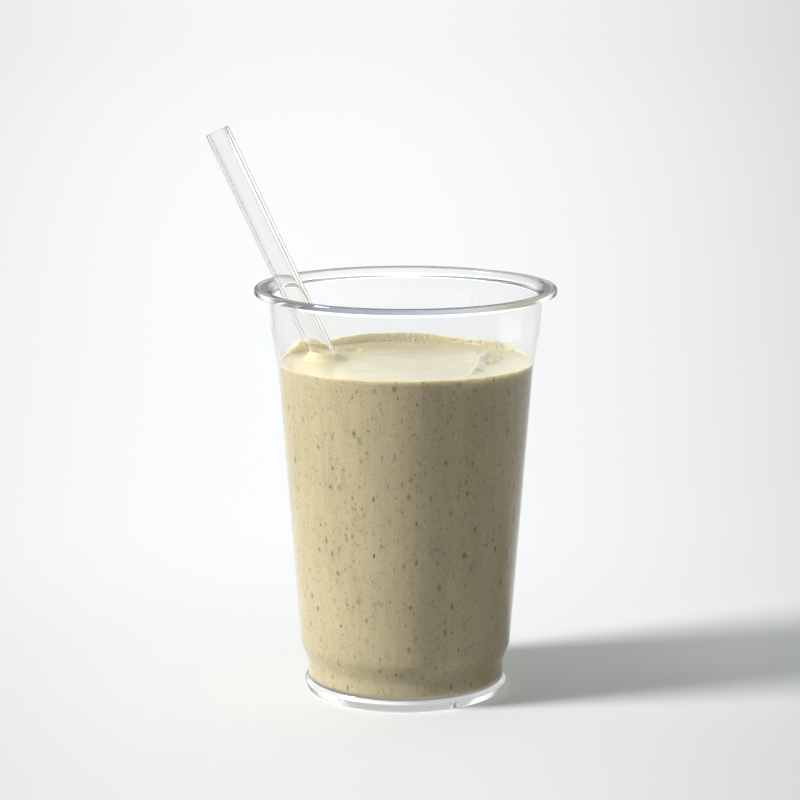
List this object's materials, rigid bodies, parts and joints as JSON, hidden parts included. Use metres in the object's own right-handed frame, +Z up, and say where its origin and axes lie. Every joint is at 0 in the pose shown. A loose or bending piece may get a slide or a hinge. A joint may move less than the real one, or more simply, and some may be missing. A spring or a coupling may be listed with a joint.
{
  "type": "green smoothie in a clear cup with a straw",
  "caption": "Thick green smoothie in a clear tapered plastic cup with a curled rim and a hollow foot, a clear glass straw leaning in it.",
  "frame": {"origin": "on the floor that the cup stands on, at the middle of the whole object's box; the cup's axis is about 7.9 mm to +X of it, because the straw reaches out on the -X side", "axes": "+Z up along the cup's axis, +X to the right as seen from the front, +Y to the back; the straw leans towards -X and slightly +Y"},
  "size_m": [0.1136, 0.098, 0.1841],
  "materials": {
    "clear_plastic": "clear, polished hard plastic",
    "smoothie": "thick wet blended drink, pale grey green with dark flecks",
    "straw_glass": "clear polished glass"
  },
  "bodies": {
    "root": {"cup": "clear_plastic", "smoothie": "smoothie", "straw": "straw_glass"}
  },
  "joints": []
}
